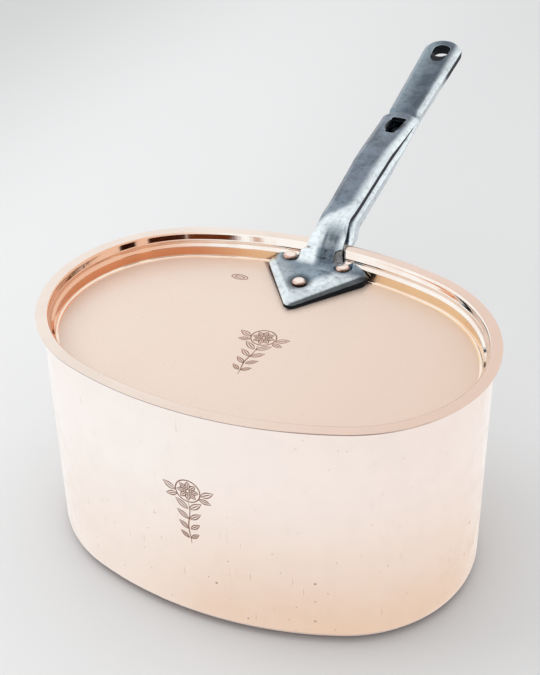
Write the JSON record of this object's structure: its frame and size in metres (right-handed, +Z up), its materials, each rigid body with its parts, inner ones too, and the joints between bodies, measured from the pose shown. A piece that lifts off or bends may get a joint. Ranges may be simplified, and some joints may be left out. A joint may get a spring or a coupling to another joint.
{
  "type": "oval copper braising pot",
  "caption": "Oval copper braising pot with a sunken lift-off lid and two forged iron handles that lie one over the other.",
  "frame": {"origin": "middle of the flat base, on the surface that the pot stands on", "axes": "+Z up, X along the oval, both handles run out along +Y"},
  "size_m": [0.34, 0.5479, 0.2407],
  "materials": {
    "copper": "polished copper, tinned inside",
    "lid_copper": "polished copper, tinned below",
    "iron": "forged iron, ground and oiled",
    "rivet": "hammered copper"
  },
  "bodies": {
    "pot": {"pot_body": "copper", "pot_handle": "iron", "pot_rivet_left": "rivet", "pot_rivet_right": "rivet", "pot_rivet_point": "rivet"},
    "lid": {"lid_pan": "lid_copper", "lid_handle": "iron", "lid_rivet_left": "rivet", "lid_rivet_right": "rivet", "lid_rivet_point": "rivet"}
  },
  "joints": [
    {"name": "lid_lift", "type": "slide", "parent": "pot", "child": "lid", "axis": [0, 0, 1], "range_m": [0, 0.15]}
  ]
}
